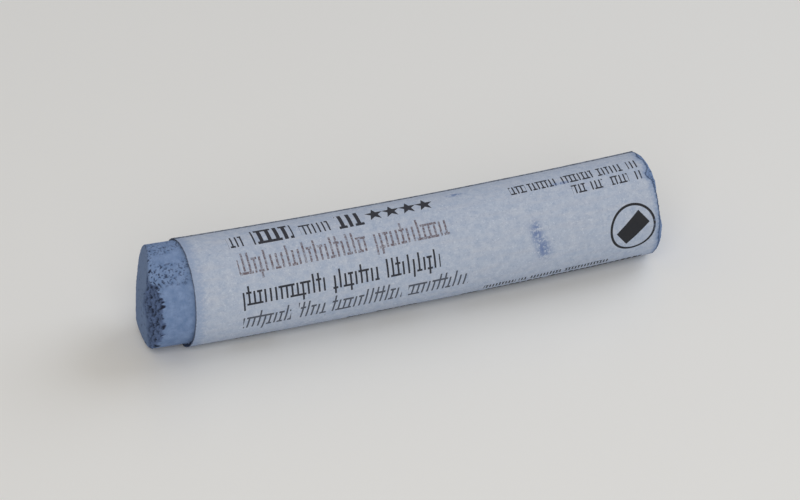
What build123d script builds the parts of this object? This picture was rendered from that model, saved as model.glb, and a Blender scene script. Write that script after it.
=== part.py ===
from build123d import *
import math
import os

# Soft pastel stick: a round bar of pressed pigment in a glued sleeve of label paper.
# It lies along X on the plane Z = 0, with its worn drawing end towards -X.
# Clock angles run about the bar's axis: 0 is the front (-Y), 90 the top, 180 the back.

# ---- Driving sizes, millimetres and degrees ----

BAR_D = 12.0            # diameter of the pressed bar
BAR_L = 62.0            # length of the bar over its furthest point at the worn end
BUTT_ROUND = 0.4        # softened rim of the unused end

BARE_L = 4.6            # bar left bare at the worn end
BUTT_BARE_L = 0.5       # bar standing out of the paper at the unused end

PAPER_T = 0.10          # one thickness of label paper
GLUE_GAP = 0.03         # paste and air between bar and paper
LAP_W = 5.0             # width of the glued overlap, round the sleeve
LAP_EDGE_AT = 121.0     # clock angle of the overlap's free edge
LAP_RAMP_W = 1.0        # paper bridging down past the edge hidden under the overlap

LOOSE_L = 26.0          # stretch of the sleeve that has come loose, from its open mouth
MOUTH_GROWTH = 0.15     # how much the sleeve's radius has grown at its mouth
MOUTH_SAG = 0.14        # how far the mouth has dropped off the bar's axis
MOUTH_SAG_AT = -59.0    # clock angle that the mouth has dropped towards
FLAT_DEPTH = 0.02       # how deep the paper is pressed flat under the stick

FACE_TILT = 12.0        # tilt of the worn face off square
FACE_LEAN_AT = 150.0    # clock angle at which the worn face is furthest back
FACE_SETBACK = 0.27     # worn face at the axis, back from the bar's furthest point
BREAK_TILT = 17.2       # tilt of the broken facet at the front rim
BREAK_LEAN_AT = 15.0    # clock angle at which the broken facet is furthest back
BREAK_RIM_X = 1.05      # the facet's furthest point at the rim, back from the bar's furthest point
BREAK_AT = -8.0         # clock angle of the middle of the break
BREAK_W = 10.0          # width of the break, across the bar

# ---- Sizes that follow ----

bar_r = BAR_D / 2
sleeve_in_r = bar_r + GLUE_GAP
sleeve_out_r = sleeve_in_r + PAPER_T
axis_z = sleeve_out_r - FLAT_DEPTH

worn_x = -BAR_L / 2
butt_x = BAR_L / 2
mouth_x = worn_x + BARE_L
sleeve_end_x = butt_x - BUTT_BARE_L
tight_x = mouth_x + LOOSE_L
face_x = worn_x + FACE_SETBACK
break_x = worn_x + BREAK_RIM_X - bar_r * math.tan(math.radians(BREAK_TILT))

lap_end_at = LAP_EDGE_AT + math.degrees(LAP_W / sleeve_out_r)
ramp_end_at = lap_end_at + math.degrees(LAP_RAMP_W / sleeve_out_r)


def clock(angle, radius):
    """The point at a clock angle and radius, as (Y, Z) from the bar's axis."""
    turn = math.radians(angle)
    return (-radius * math.cos(turn), radius * math.sin(turn))


def worn_plane(x, tilt, lean_at):
    """A plane across the bar at x, facing -X and tilted back towards a clock angle.

    In its own axes, angles from local X are clock angles.
    """
    lean_y, lean_z = clock(lean_at, math.sin(math.radians(tilt)))
    normal = Vector(-math.cos(math.radians(tilt)), lean_y, lean_z)
    return Plane(origin=(x, 0, axis_z), x_dir=(lean_y, -1, 0), z_dir=normal)


def sleeve_outside(x, growth, sag):
    """The sleeve's outline at x: a round with the overlap's step, flat underneath."""
    radius = sleeve_out_r + growth
    middle_y, middle_z = clock(MOUTH_SAG_AT, sag)

    def rim(angle, proud=0.0):
        y, z = clock(angle, radius + proud)
        return (middle_y + y, axis_z + middle_z + z)

    round_middle_at = (ramp_end_at - 360 + LAP_EDGE_AT) / 2
    with BuildSketch(Plane.YZ.offset(x)) as outline:
        with BuildLine():
            ThreePointArc(rim(ramp_end_at), rim(round_middle_at), rim(LAP_EDGE_AT))
            Line(rim(LAP_EDGE_AT), rim(LAP_EDGE_AT, PAPER_T))
            lap_middle_at = (LAP_EDGE_AT + lap_end_at) / 2
            ThreePointArc(rim(LAP_EDGE_AT, PAPER_T), rim(lap_middle_at, PAPER_T), rim(lap_end_at, PAPER_T))
            Line(rim(lap_end_at, PAPER_T), rim(ramp_end_at))
        make_face()
        Rectangle(2 * BAR_D, BAR_D, align=(Align.CENTER, Align.MAX), mode=Mode.SUBTRACT)
    return outline.sketch


def sleeve_inside(x, growth, sag):
    """The sleeve's hollow at x: a round with the same flat underneath, one paper higher."""
    middle_y, middle_z = clock(MOUTH_SAG_AT, sag)
    with BuildSketch(Plane.YZ.offset(x)) as hollow:
        with Locations((middle_y, axis_z + middle_z)):
            Circle(sleeve_in_r + growth)
        with Locations((0, PAPER_T)):
            Rectangle(2 * BAR_D, BAR_D, align=(Align.CENTER, Align.MAX), mode=Mode.SUBTRACT)
    return hollow.sketch


# ---- Pressed bar: butt end flat and square, drawing end worn to a slant and broken at the front ----

with BuildPart() as pigment_stick:
    with BuildSketch(Plane.YZ.offset(worn_x)):
        with Locations((0, axis_z)):
            Circle(bar_r)
    extrude(amount=BAR_L)
    butt_rim = pigment_stick.edges().filter_by(GeomType.CIRCLE).sort_by(Axis.X)[-1]
    fillet(butt_rim, radius=BUTT_ROUND)

    # The worn face slants back across the bar.
    with BuildSketch(worn_plane(face_x, FACE_TILT, FACE_LEAN_AT)):
        Circle(BAR_D)
    extrude(amount=BAR_D, mode=Mode.SUBTRACT)

    # The front rim is broken away, which leaves a lip standing at the upper front.
    with BuildSketch(worn_plane(break_x, BREAK_TILT, BREAK_LEAN_AT)):
        with PolarLocations(bar_r, 1, start_angle=BREAK_AT):
            Rectangle(BAR_D, BREAK_W)
    extrude(amount=BAR_D, mode=Mode.SUBTRACT)

# ---- Paper sleeve: one sheet rolled round the bar and pasted over itself ----

with BuildPart() as paper_wrapper:
    loft(sections=[sleeve_outside(mouth_x, MOUTH_GROWTH, MOUTH_SAG), sleeve_outside(tight_x, 0, 0)], ruled=True)
    extrude(sleeve_outside(tight_x, 0, 0), amount=sleeve_end_x - tight_x)
    loft(
        sections=[sleeve_inside(mouth_x, MOUTH_GROWTH, MOUTH_SAG), sleeve_inside(tight_x, 0, 0)],
        ruled=True,
        mode=Mode.SUBTRACT,
    )
    extrude(sleeve_inside(tight_x, 0, 0), amount=sleeve_end_x - tight_x, mode=Mode.SUBTRACT)

# ---- Output ----

pigment_stick.part.label = "pigment_stick"
paper_wrapper.part.label = "paper_wrapper"

os.makedirs("parts", exist_ok=True)
export_step(pigment_stick.part, "parts/pigment_stick.step")
export_step(paper_wrapper.part, "parts/paper_wrapper.step")

sheet_round = 2 * math.pi * (sleeve_in_r + PAPER_T / 2) + LAP_W
print(f"paper sheet laid flat: {sheet_round:.1f} x {sleeve_end_x - mouth_x:.1f} mm")
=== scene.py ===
"""Soft pastel stick: a worn bar of pressed blue pigment in a pasted paper sleeve.

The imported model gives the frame. Two meshes stand for its two nodes, the bar and the sleeve, and a third
holds the loose crumbs of pigment that cling to them. Clock angles run about the bar's axis: 0 is the
front (-Y), 90 the top and 180 the back.
"""

import logging
import math
from dataclasses import dataclass
from enum import Enum

import bpy
import numpy as np
from mathutils import Matrix, Vector, noise

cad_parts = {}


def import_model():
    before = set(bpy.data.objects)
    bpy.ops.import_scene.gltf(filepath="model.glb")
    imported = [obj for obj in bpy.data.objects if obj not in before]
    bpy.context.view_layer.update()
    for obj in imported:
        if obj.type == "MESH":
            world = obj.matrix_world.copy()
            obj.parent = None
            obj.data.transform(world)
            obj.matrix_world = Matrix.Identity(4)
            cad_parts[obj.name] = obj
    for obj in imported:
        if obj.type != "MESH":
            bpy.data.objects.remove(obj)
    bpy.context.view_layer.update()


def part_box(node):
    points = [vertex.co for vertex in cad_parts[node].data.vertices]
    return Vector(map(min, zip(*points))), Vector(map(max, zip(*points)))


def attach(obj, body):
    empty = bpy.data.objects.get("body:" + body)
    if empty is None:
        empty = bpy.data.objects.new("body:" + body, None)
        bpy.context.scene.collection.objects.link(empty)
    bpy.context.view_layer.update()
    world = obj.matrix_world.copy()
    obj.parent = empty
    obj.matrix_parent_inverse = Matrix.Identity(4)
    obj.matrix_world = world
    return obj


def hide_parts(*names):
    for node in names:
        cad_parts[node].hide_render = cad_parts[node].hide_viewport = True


log = logging.getLogger("pastel_stick")

MM = 0.001
BODY = "root"
SHEET_UV = "sheet_mm"
FROM_MOUTH = "from_mouth_mm"
FROM_END = "from_end_mm"
MATH = "ShaderNodeMath"
VECTOR = "ShaderNodeVectorMath"
COMBINE = "ShaderNodeCombineXYZ"
SEPARATE = "ShaderNodeSeparateXYZ"
NOISE = "ShaderNodeTexNoise"
RAMP = "ShaderNodeMapRange"
MIX_A, MIX_B = 6, 7  # the two colour inputs of a Mix node

Tree = bpy.types.NodeTree
Node = bpy.types.Node
Socket = bpy.types.NodeSocket
Sockets = bpy.types.bpy_prop_collection


def linear(colour: str) -> tuple[float, float, float, float]:
    """Turn an sRGB hex colour into a linear one.

    Args:
        colour: Six hex digits, such as "a0b1c2".

    Returns:
        Linear red, green and blue, and an alpha of 1.
    """
    parts = [int(colour[i : i + 2], 16) / 255 for i in (0, 2, 4)]
    red, green, blue = (c / 12.92 if c <= 0.04045 else ((c + 0.055) / 1.055) ** 2.4 for c in parts)
    return red, green, blue, 1.0


def add(tree: Tree, kind: str, feeds: dict | None = None, **settings: object) -> Node:
    """Add a node with its settings, and fill or link its inputs.

    Args:
        tree: The tree that gets the node.
        kind: The node's type name.
        feeds: Input name or index to a value, a socket, or a node whose first live output is linked.
        **settings: The node's own properties.

    Returns:
        The new node.
    """
    node = tree.nodes.new(kind)
    for name, value in settings.items():
        setattr(node, name, value)
    for key, value in (feeds or {}).items():
        if isinstance(value, Node):
            value = next(out for out in value.outputs if out.enabled)
        if isinstance(value, Socket):
            tree.links.new(value, node.inputs[key])
        else:
            node.inputs[key].default_value = value
    return node


def clock(angle: float) -> tuple[float, float]:
    """The unit vector (Y, Z) at a clock angle in degrees."""
    turn = math.radians(angle)
    return -math.cos(turn), math.sin(turn)


@dataclass(frozen=True)
class StickFrame:
    """Where the bar and its sleeve lie, in metres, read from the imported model."""

    bar_radius: float
    axis_z: float
    worn_x: float
    butt_x: float
    mouth_x: float
    sleeve_end_x: float
    bow: float = 0.94 * MM  # rise of the bar's slight sideways bow over its length
    paste_gap: float = 0.03 * MM

    @classmethod
    def read(cls) -> "StickFrame":
        """Read the sizes from the boxes of the two CAD nodes.

        Returns:
            The sizes and places that every piece is built from.
        """
        bar_low, bar_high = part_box("pigment_stick")
        sleeve_low, sleeve_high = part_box("paper_wrapper")
        return cls(
            bar_radius=(bar_high.y - bar_low.y) / 2,
            axis_z=(bar_high.z + bar_low.z) / 2,
            worn_x=bar_low.x,
            butt_x=bar_high.x,
            mouth_x=sleeve_low.x,
            sleeve_end_x=sleeve_high.x,
        )

    @property
    def half_length(self) -> float:
        """Half the bar's length."""
        return (self.butt_x - self.worn_x) / 2

    @property
    def radius_at_sleeve(self) -> float:
        """Radius of the sleeve's inner face where it is tight."""
        return self.bar_radius + self.paste_gap

    def bow_at(self, x: np.ndarray) -> np.ndarray:
        """Sideways offset of the bar's axis at x, from its slight bow."""
        return self.bow * ((x / self.half_length) ** 2 - 0.5)


def smooth(value: np.ndarray, low: float, high: float) -> np.ndarray:
    """Rise smoothly from 0 at low to 1 at high."""
    t = np.clip((value - low) / (high - low), 0, 1)
    return t * t * (3 - 2 * t)


def grain(points: np.ndarray, size: float, octaves: int, seed: float) -> np.ndarray:
    """Fractal noise, about -1 to 1, at each point.

    Args:
        points: Rows of X, Y and Z in metres.
        size: Size of the largest lumps, in metres.
        octaves: Number of finer layers, each half the size of the one before.
        seed: Offset that picks another stretch of the noise.

    Returns:
        One value for each point.
    """
    return np.array(
        [noise.fractal(Vector(p) / size + Vector((seed, 0, 0)), 0.8, 2.0, octaves) for p in points]
    )


@dataclass(frozen=True)
class Grain:
    """Fractal noise laid over a surface.

    Its height is in metres, or in degrees where it shifts an angle; the size of its largest lumps is in
    metres; each finer layer is half as large; and the seed picks another stretch of the noise.
    """

    height: float
    size: float
    layers: int
    seed: float

    def at(self, points: np.ndarray) -> np.ndarray:
        """Height of the noise at rows of X, Y and Z."""
        return self.height * grain(points, self.size, self.layers, self.seed)


@dataclass(frozen=True)
class Hollows:
    """Ragged hollows in a surface: their depth and spacing in metres, and the share of it that they take."""

    depth: float
    spacing: float
    share: float
    seed: float
    layers: int = 3
    lip: float = 0.04
    slope: float = 0.14

    def at(self, points: np.ndarray) -> np.ndarray:
        """How far each point is into a hollow.

        Args:
            points: Rows of X, Y and Z in metres.

        Returns:
            0 outside a hollow to 1 at its floor, for each point.
        """
        level = 1 - 2 * self.share
        edge = 0.62 * level**3 + 0.10 * level  # the noise level that leaves about this share above it
        field = grain(points, self.spacing, self.layers, self.seed)
        return smooth(field, edge - self.lip, edge + self.slope)


def new_piece(
    name: str, mesh: bpy.types.Mesh, material: bpy.types.Material | None = None
) -> bpy.types.Object:
    """Link a mesh into the scene as an object at the origin.

    Args:
        name: Name of the object and of its mesh.
        mesh: The mesh, in metres.
        material: Its only material, or None to keep the materials that it has.

    Returns:
        The new object.
    """
    mesh.name = name
    piece = bpy.data.objects.new(name, mesh)
    bpy.context.scene.collection.objects.link(piece)
    if material:
        mesh.materials.clear()
        mesh.materials.append(material)
    return piece


def settle(piece: bpy.types.Object, slot: str, *nodes: str) -> bpy.types.Object:
    """Put a finished piece on the stick's body.

    Args:
        piece: The piece.
        slot: Name of the material slot that it wears; not used.
        *nodes: The CAD nodes that it stands for.

    Returns:
        The same piece.
    """
    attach(piece, BODY)
    if nodes:
        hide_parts(*nodes)
    log.info("%s: %d faces", piece.name, len(piece.data.polygons))
    return piece


def sized_tree(name: str, sizes: dict[str, float], takes_mesh: bool = False) -> Tree:
    """Start a Geometry Nodes tree with a named input for each size.

    Args:
        name: The tree's name.
        sizes: Input name to value.
        takes_mesh: Whether the tree works on its piece's own mesh.

    Returns:
        The new tree, without nodes.
    """
    tree = bpy.data.node_groups.new(name, "GeometryNodeTree")
    tree.interface.new_socket("Geometry", in_out="OUTPUT", socket_type="NodeSocketGeometry")
    if takes_mesh:
        tree.interface.new_socket("Geometry", in_out="INPUT", socket_type="NodeSocketGeometry")
    for size, value in sizes.items():
        socket = tree.interface.new_socket(size, in_out="INPUT", socket_type="NodeSocketFloat")
        socket.default_value = value
    return tree


def dress(tree: Tree, shape: Node, material: bpy.types.Material) -> None:
    """Make a tree's instances real, give them their material and end the tree.

    Args:
        tree: The tree.
        shape: The node that gives its shape.
        material: The material.
    """
    real = add(tree, "GeometryNodeRealizeInstances", {0: shape})
    dressed = add(tree, "GeometryNodeSetMaterial", {0: real, 2: material})
    tree.links.new(dressed.outputs[0], add(tree, "NodeGroupOutput").inputs[0])


def run_tree(piece: bpy.types.Object, tree: Tree, sizes: dict[str, float]) -> None:
    """Put a tree on a piece and set its inputs.

    Args:
        piece: The piece.
        tree: The tree.
        sizes: Input name to value.
    """
    modifier = piece.modifiers.new(tree.name, "NODES")
    modifier.node_group = tree
    for socket in tree.interface.items_tree:
        if socket.in_out == "INPUT" and socket.name in sizes:
            modifier[socket.identifier] = sizes[socket.name]


def frozen_mesh(piece: bpy.types.Object) -> bpy.types.Mesh:
    """Make a mesh of its own out of what a piece's modifiers make.

    Args:
        piece: The piece, with its modifiers.

    Returns:
        The new mesh.
    """
    graph = bpy.context.evaluated_depsgraph_get()
    shaped = piece.evaluated_get(graph)
    return bpy.data.meshes.new_from_object(shaped, preserve_all_data_layers=True, depsgraph=graph)


def blank_material(name: str) -> tuple[bpy.types.Material, Tree, Node]:
    """Start a material.

    Args:
        name: The material's name.

    Returns:
        The material, its tree and its shader.
    """
    material = bpy.data.materials.new(name)
    material.use_nodes = True
    return material, material.node_tree, material.node_tree.nodes["Principled BSDF"]


def lay_coats(tree: Tree, base: str, coats: list[tuple[Node | Socket, str]]) -> None:
    """Colour a material: a base, with coats laid over it in order.

    Args:
        tree: The material's tree.
        base: Hex colour of the base.
        coats: The mask and hex colour of each coat.
    """
    colour = linear(base)
    for mask, hue in coats:
        colour = add(tree, "ShaderNodeMix", {0: mask, MIX_A: colour, MIX_B: linear(hue)}, data_type="RGBA")
    shown = next(out for out in colour.outputs if out.enabled)
    tree.links.new(shown, tree.nodes["Principled BSDF"].inputs["Base Color"])


@dataclass
class PigmentBar:
    """The pressed bar: butt end square, drawing end worn to a slant, its front rim broken away.

    Lengths are in metres and angles in degrees. A name that ends in `_at` is a clock angle.
    """

    frame: StickFrame
    around: int = 420
    face_rings: int = 62
    bare_rows: int = 64
    hidden_rows: int = 12
    butt_rows: int = 14
    butt_rings: int = 26

    worn_tilt: float = 12.0
    worn_lean_at: float = 143.0
    worn_furthest: float = -0.15 * MM
    worn_fine: Grain = Grain(0.03 * MM, 0.5 * MM, 4, 23.0)
    worn_waves: Grain = Grain(0.04 * MM, 2.2 * MM, 2, 31.0)
    worn_scars: Hollows = Hollows(0.08 * MM, 0.5 * MM, 0.05, 29.0)

    break_tilt: float = 13.0
    break_lean_at: float = 15.0
    break_at: float = -8.0
    break_half_width: float = 5.0 * MM
    break_rim_setback: float = 0.6 * MM
    break_edge: Grain = Grain(0.35 * MM, 1.1 * MM, 3, 3.0)
    break_floor: Grain = Grain(0.25 * MM, 1.6 * MM, 4, 9.0)
    break_lumps: Grain = Grain(0.20 * MM, 0.9 * MM, 4, 13.0)
    break_grit: Grain = Grain(0.07 * MM, 0.3 * MM, 2, 19.0)
    break_clefts: Hollows = Hollows(0.32 * MM, 0.42 * MM, 0.38, 17.0)

    lip_at: float = 66.0
    lip_rise: float = 0.22 * MM
    lip_half_turn: float = 24.0
    lip_reach: float = 1.3 * MM
    rim_bevel: float = 0.08 * MM

    side_worn: float = 0.02 * MM
    side_waves: Grain = Grain(0.03 * MM, 2.4 * MM, 3, 47.0)
    side_pits: Hollows = Hollows(0.13 * MM, 0.25 * MM, 0.17, 5.0)
    stray_pits: float = 0.04
    pit_band_edge: Grain = Grain(5.0, 2.0 * MM, 2, 41.0)
    tucked: float = 1.2 * MM

    butt_inset: float = 0.05 * MM
    butt_worn: float = 0.07 * MM
    butt_round: float = 0.22 * MM
    butt_chip_at: float = 31.0
    butt_chip_half_turn: float = 17.0
    butt_chip: float = 0.45 * MM
    butt_dents: Grain = Grain(0.04 * MM, 2.6 * MM, 4, 67.0)
    butt_pits: Hollows = Hollows(0.10 * MM, 0.6 * MM, 0.06, 61.0)

    def end_face(self, spots: np.ndarray) -> tuple[np.ndarray, np.ndarray]:
        """Height of the drawing end's face at spots across the bar.

        Args:
            spots: Rows of Y and Z from the bar's axis, in metres.

        Returns:
            X of the face at each spot, and rows of its marks: broken, hollow and worn, 0 to 1.
        """
        frame = self.frame
        y, z = spots[:, 0], spots[:, 1]
        places = np.column_stack([np.zeros(len(y)), y, z])

        lean_y, lean_z = clock(self.worn_lean_at)
        worn = frame.worn_x + math.tan(math.radians(self.worn_tilt)) * (y * lean_y + z * lean_z)
        face = np.maximum(worn, frame.worn_x + self.worn_furthest)
        off_lip = (np.degrees(np.arctan2(z, -y)) - self.lip_at) / self.lip_half_turn
        off_rim = (frame.bar_radius - np.hypot(y, z)) / self.lip_reach
        face = face - self.lip_rise * np.exp(-(off_lip**2) - off_rim**2)

        slope = math.tan(math.radians(self.break_tilt))
        break_y, break_z = clock(self.break_lean_at)
        floor_x = frame.worn_x + self.break_rim_setback - frame.bar_radius * slope
        broken_face = floor_x + slope * (y * break_y + z * break_z)
        across_y, across_z = clock(self.break_at + 90)
        across = y * across_y + z * across_z
        inside = smooth(self.break_half_width + self.break_edge.at(places) - np.abs(across), 0.0, 0.4 * MM)
        deeper = broken_face + self.break_floor.at(places)
        broken = inside * smooth(deeper - face, -0.75 * MM, 0.05 * MM)
        face = face + inside * np.maximum(deeper - face, 0)

        clefts = self.break_clefts.at(places * (1.0, 1.0, 0.5))  # clefts are longer upwards than across
        rough = self.break_lumps.at(places) + self.break_grit.at(places) + self.break_clefts.depth * clefts
        scars = self.worn_scars.at(places)
        rubbed = self.worn_fine.at(places) + self.worn_waves.at(places) + self.worn_scars.depth * scars
        face = face + broken * rough + (1 - broken) * rubbed
        return face, np.column_stack([broken, broken * clefts + (1 - broken) * scars, 1 - broken])

    def butt_face(self, spots: np.ndarray) -> tuple[np.ndarray, np.ndarray]:
        """Height of the butt's pressed face at spots across the bar.

        Args:
            spots: Rows of Y and Z from the bar's axis, in metres.

        Returns:
            X of the face at each spot, and rows of its marks: broken, hollow and worn, 0 to 1.
        """
        places = np.column_stack([np.full(len(spots), self.frame.butt_x), spots])
        pits = self.butt_pits.at(places)
        dents = np.abs(self.butt_dents.at(places)) + self.butt_pits.depth * pits
        return self.frame.butt_x - self.butt_inset - dents, np.column_stack([pits * 0, pits, pits * 0])

    def pitted(self, angle: np.ndarray) -> np.ndarray:
        """How pitted the bare side is in its two bands, one along the top and one in front of it.

        Args:
            angle: Clock angles.

        Returns:
            0 to 1 for each angle.
        """
        upper = smooth(angle, 82, 90) * (1 - smooth(angle, 125, 140))
        middle = smooth(angle, 36, 50) * (1 - smooth(angle, 68, 75))
        return np.maximum(upper, middle)

    def side(
        self, x: np.ndarray, angle: np.ndarray, depth: float, rim: float = 0.0
    ) -> tuple[np.ndarray, np.ndarray]:
        """One ring of the bar's side.

        Args:
            x: X of each point round the ring.
            angle: Clock angle of each point.
            depth: How much of the surface's wear this ring shows, 0 to 1.
            rim: How near the ring is to the chipped rim, 0 to 1.

        Returns:
            Rows of Y and Z from the axis, and the marks of each point.
        """
        radius = self.frame.bar_radius
        ring = np.array([clock(a) for a in angle])
        places = np.column_stack([x, radius * ring[:, 0], radius * ring[:, 1]])
        pitted = self.pitted(angle + self.pit_band_edge.at(places))
        chipped = rim * smooth(angle, 20, 44) * (1 - smooth(angle, 95, 110))
        holes = self.side_pits.at(places) * np.clip(pitted + chipped, self.stray_pits, 1)
        wear = self.side_worn + self.side_waves.at(places) + self.side_pits.depth * holes
        marks = np.column_stack([pitted * 0, holes * depth, pitted * 0])
        return ring * (radius - depth * np.maximum(wear, 0))[:, None], marks

    def drawing_end(self, angle: np.ndarray) -> tuple[list[np.ndarray], list[np.ndarray]]:
        """Rings of the worn end's face from its middle to its nibbled rim, closer together near the rim.

        Args:
            angle: Clock angle of each point of a ring.

        Returns:
            The points of each ring, and their marks.
        """
        radius = self.frame.bar_radius
        ring = np.array([clock(a) for a in angle])
        rows: list[np.ndarray] = []
        marks: list[np.ndarray] = []
        nibbled = (0.10 + 0.16 * smooth(-angle, 70, 95)) * MM
        rim_gap = np.abs(nibbled * grain(np.column_stack([angle * 0, *ring.T]) * radius, 0.5 * MM, 3, 2.0))
        for k in range(1, self.face_rings + 1):
            share = math.sin(math.pi / 2 * k / self.face_rings) ** 0.9
            spots = ring * (share * (radius - self.rim_bevel) - (share > 0.98) * rim_gap)[:, None]
            x, mark = self.end_face(spots)
            rows.append(np.column_stack([x, spots]))
            marks.append(mark)
        return rows, marks

    def bare_side(
        self, angle: np.ndarray, rim_mark: np.ndarray
    ) -> tuple[list[np.ndarray], list[np.ndarray]]:
        """Rings from the worn rim to a little way inside the sleeve.

        Args:
            angle: Clock angle of each point of a ring.
            rim_mark: Marks of the end face's last ring, which fade out along the side.

        Returns:
            The points of each ring, and their marks.
        """
        ring = np.array([clock(a) for a in angle])
        rim_x = self.end_face(ring * self.frame.bar_radius)[0] + self.rim_bevel
        tuck_x = self.frame.mouth_x + self.tucked
        rows: list[np.ndarray] = []
        marks: list[np.ndarray] = []
        for k in range(self.bare_rows):
            share = k / (self.bare_rows - 1)
            x = rim_x + (tuck_x - rim_x) * share
            yz, mark = self.side(x, angle, 1.0 - 0.6 * share, max(0, 1 - 7 * share))
            rows.append(np.column_stack([x, yz]))
            marks.append(np.maximum(mark, rim_mark * max(0, 1 - 25 * share)))
        return rows, marks

    def butt_end(self, angle: np.ndarray, start: float) -> tuple[list[np.ndarray], list[np.ndarray]]:
        """Rings from inside the sleeve to the butt's rounded, chipped rim, and over its face.

        Args:
            angle: Clock angle of each point of a ring.
            start: X of the first ring, in metres.

        Returns:
            The points of each ring, and their marks.
        """
        frame = self.frame
        ring = np.array([clock(a) for a in angle])
        rows: list[np.ndarray] = []
        marks: list[np.ndarray] = []
        chip = self.butt_chip * np.exp(-(((angle - self.butt_chip_at) / self.butt_chip_half_turn) ** 2))
        places = np.column_stack([angle * 0, *ring.T]) * frame.bar_radius
        rim_x = frame.butt_x - chip - self.butt_worn * (0.6 + grain(places, 1.0 * MM, 5, 11.0))
        for k in range(self.butt_rows + 1):
            share = k / self.butt_rows
            x = start + (rim_x - start) * share
            past = np.clip((x - (rim_x - self.butt_round)) / self.butt_round, 0, 1)
            drop = self.butt_round * (1 - np.sqrt(1 - 0.92 * past**2))
            yz, mark = self.side(x, angle, share)
            rows.append(np.column_stack([x, yz * (1 - drop / frame.bar_radius)[:, None]]))
            marks.append(mark)
        rim = rows[-1]
        for k in range(1, self.butt_rings):
            share = math.cos(math.pi / 2 * k / self.butt_rings) ** 0.8
            spots = rim[:, 1:] * share
            pressed, mark = self.butt_face(spots)
            rows.append(np.column_stack([pressed + (rim[:, 0] - pressed) * share**8, spots]))
            marks.append(mark)
        return rows, marks

    def build(self, material: bpy.types.Material) -> bpy.types.Object:
        """Make the bar's mesh, with point attributes that say where it is broken, hollow and worn.

        Args:
            material: The pressed pigment.

        Returns:
            The finished bar.
        """
        frame = self.frame
        angle = np.linspace(-180, 180, self.around, endpoint=False)
        ring = np.array([clock(a) for a in angle])
        rows, marks = self.drawing_end(angle)
        side_rows, side_marks = self.bare_side(angle, marks[-1])
        butt_start = frame.sleeve_end_x - self.tucked
        hidden = np.linspace(frame.mouth_x + self.tucked, butt_start, self.hidden_rows + 2)[1:-1]
        hidden_rows = [np.column_stack([angle * 0 + x, ring * frame.bar_radius]) for x in hidden]
        hidden_marks = [np.zeros((self.around, 3)) for _ in hidden]
        butt_rows, butt_marks = self.butt_end(angle, butt_start)
        rows += side_rows + hidden_rows + butt_rows
        marks += side_marks + hidden_marks + butt_marks

        middle = np.zeros((1, 2))
        first_x, first_mark = self.end_face(middle)
        last_x, last_mark = self.butt_face(middle)
        points = np.vstack([[[first_x[0], 0, 0]], *rows, [[last_x[0], 0, 0]]])
        mark = np.vstack([first_mark, *marks, last_mark])
        points[:, 1] += frame.bow_at(points[:, 0])
        points[:, 2] += frame.axis_z

        mesh = bpy.data.meshes.new("pigment_stick")
        mesh.from_pydata(points.tolist(), [], self.faces(len(rows)))
        for column, name in enumerate(("broken", "hollow", "worn")):
            values = mark[:, column].astype(np.float32)
            mesh.attributes.new(name, "FLOAT", "POINT").data.foreach_set("value", values)
        mesh.shade_smooth()
        piece = new_piece("soft_pastel_bar", mesh, material)
        return settle(piece, "pressed_pigment", "pigment_stick")

    def faces(self, rows: int) -> list[tuple[int, ...]]:
        """Faces of a closed bar that point outwards: a fan at each end and squares between its rings.

        Args:
            rows: Number of rings between the two middle points.

        Returns:
            The point numbers of each face.
        """
        n = self.around
        ahead = [(k + 1) % n for k in range(n)]
        last = 1 + (rows - 1) * n
        fans = [(0, 1 + k, 1 + ahead[k]) for k in range(n)]
        fans += [(last + n, last + ahead[k], last + k) for k in range(n)]
        sides: list[tuple[int, ...]] = []
        for row in range(rows - 1):
            near, far = 1 + row * n, 1 + (row + 1) * n
            sides += [(near + k, far + k, far + ahead[k], near + ahead[k]) for k in range(n)]
        return fans + sides


@dataclass(frozen=True)
class Nick:
    """A place where the sleeve's end is torn short, by its clock angle and width in degrees."""

    at: float
    width: float
    depth: float


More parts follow.
